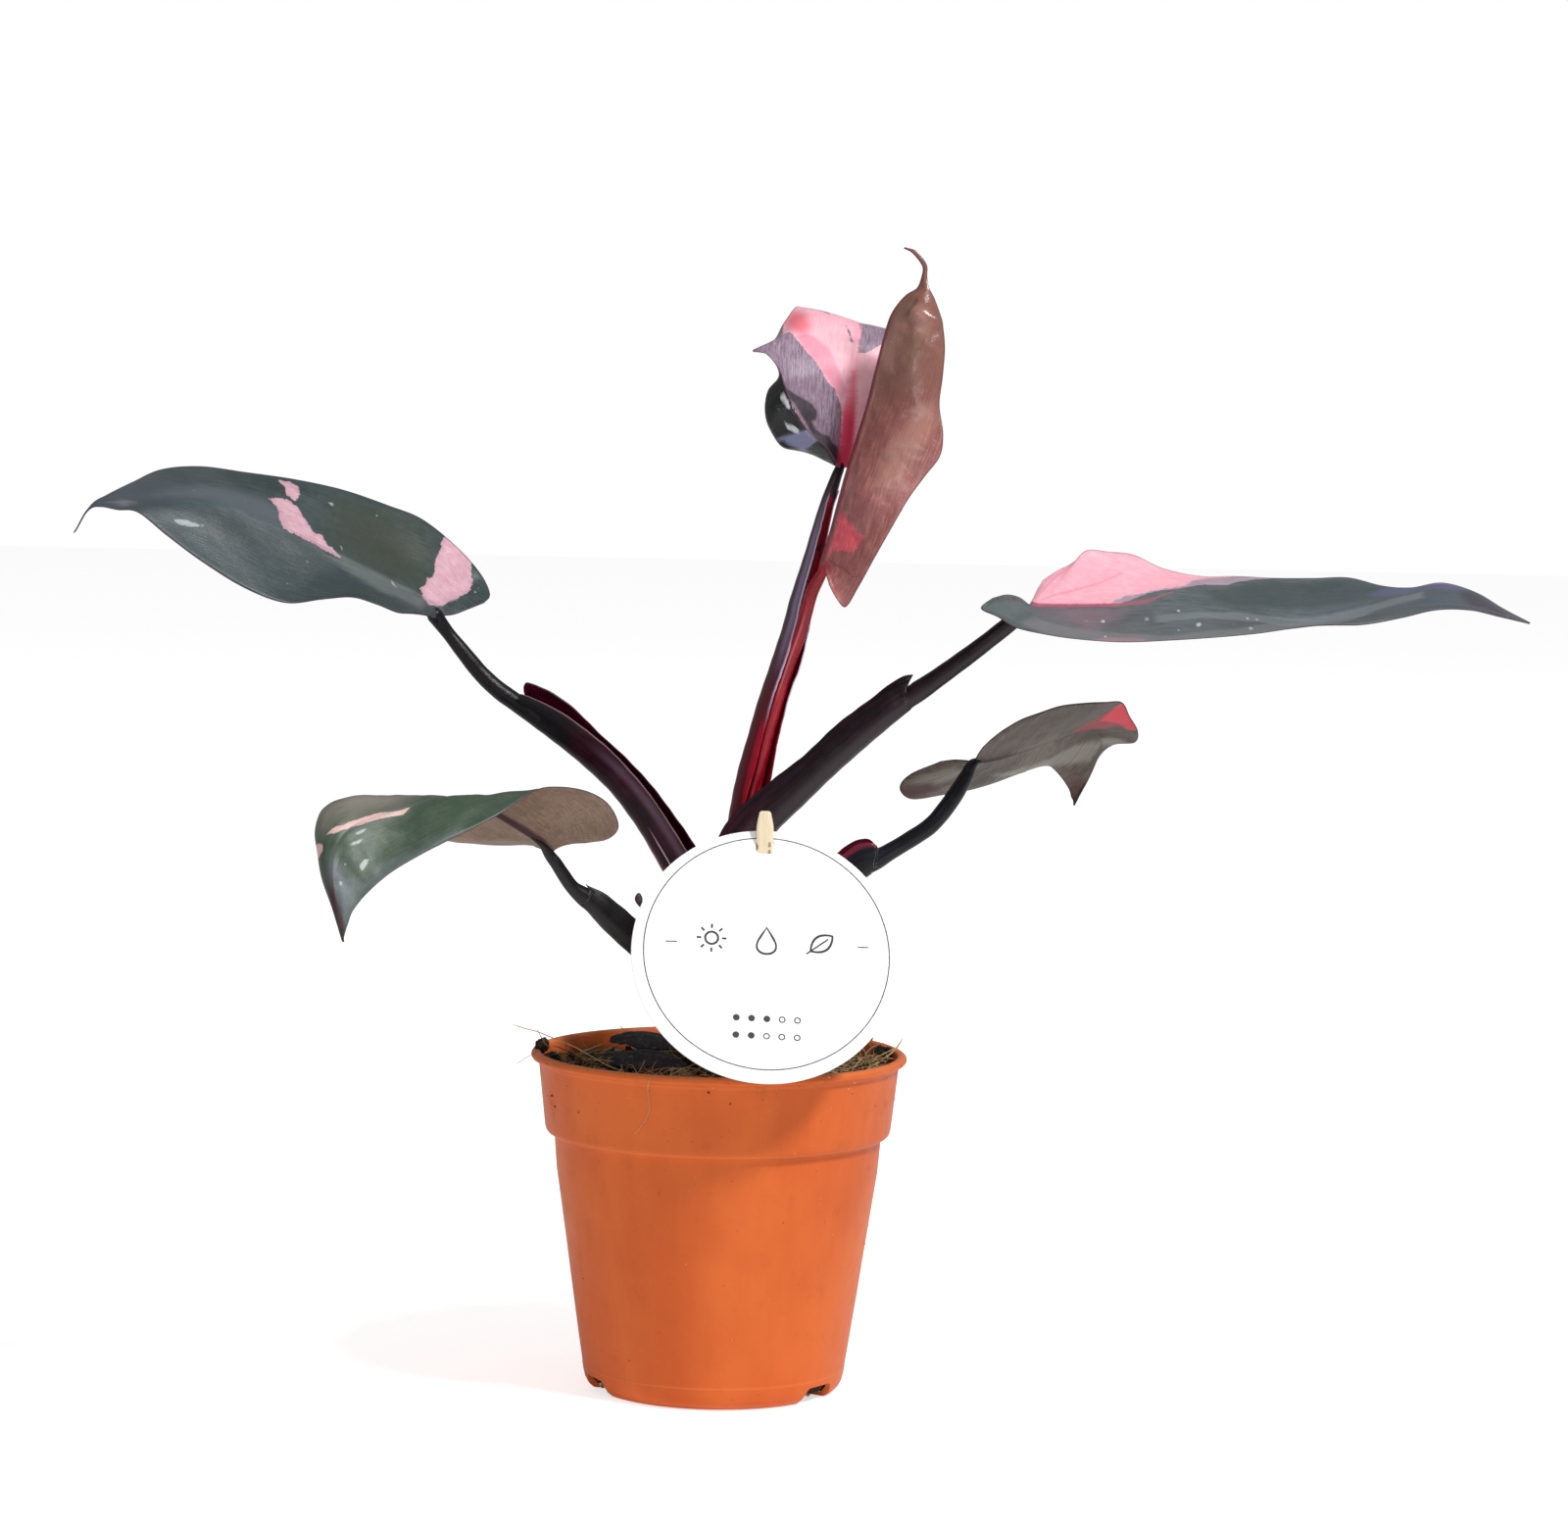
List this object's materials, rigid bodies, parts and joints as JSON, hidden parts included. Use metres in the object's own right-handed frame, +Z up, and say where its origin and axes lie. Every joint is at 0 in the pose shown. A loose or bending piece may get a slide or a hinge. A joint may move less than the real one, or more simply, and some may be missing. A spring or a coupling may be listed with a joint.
{
  "type": "potted philodendron plant",
  "caption": "Small climbing aroid with heart-shaped, pink-splashed dark leaves on long sheathed stalks, in a tapered nursery pot with a round plant label on a wooden stick.",
  "frame": {"origin": "centre of the pot's flat underside, on the pot axis, where it rests on the table", "axes": "+Z up along the pot axis, -Y towards the side that the label faces, +X to the right seen from that side, along the longest leaf"},
  "size_m": [0.4541, 0.1941, 0.3644],
  "materials": {
    "pot_plastic": "satin",
    "potting_mix": "matte",
    "stem_bark": "satin",
    "petiole_dark": "satin",
    "petiole_plum": "satin",
    "petiole_crimson": "gloss",
    "leaf_dark": "satin",
    "leaf_pink": "satin",
    "leaf_copper": "gloss",
    "dry_scale": "matte",
    "label_card": "matte",
    "label_wood": "matte"
  },
  "bodies": {
    "root": {"pot": "pot_plastic", "soil": "potting_mix", "main_stem": "stem_bark", "petiole_a": "petiole_dark", "petiole_b1": "petiole_plum", "petiole_b2": "petiole_crimson", "petiole_c": "petiole_dark", "petiole_d": "petiole_dark", "petiole_e": "petiole_dark", "leaf_a": "leaf_dark", "leaf_b1": "leaf_pink", "leaf_b2": "leaf_copper", "leaf_c": "leaf_dark", "leaf_d": "leaf_dark", "leaf_e": "leaf_dark", "dry_bud": "dry_scale", "dry_sheath": "dry_scale", "label_disc": "label_card", "label_stick": "label_wood"}
  },
  "joints": []
}
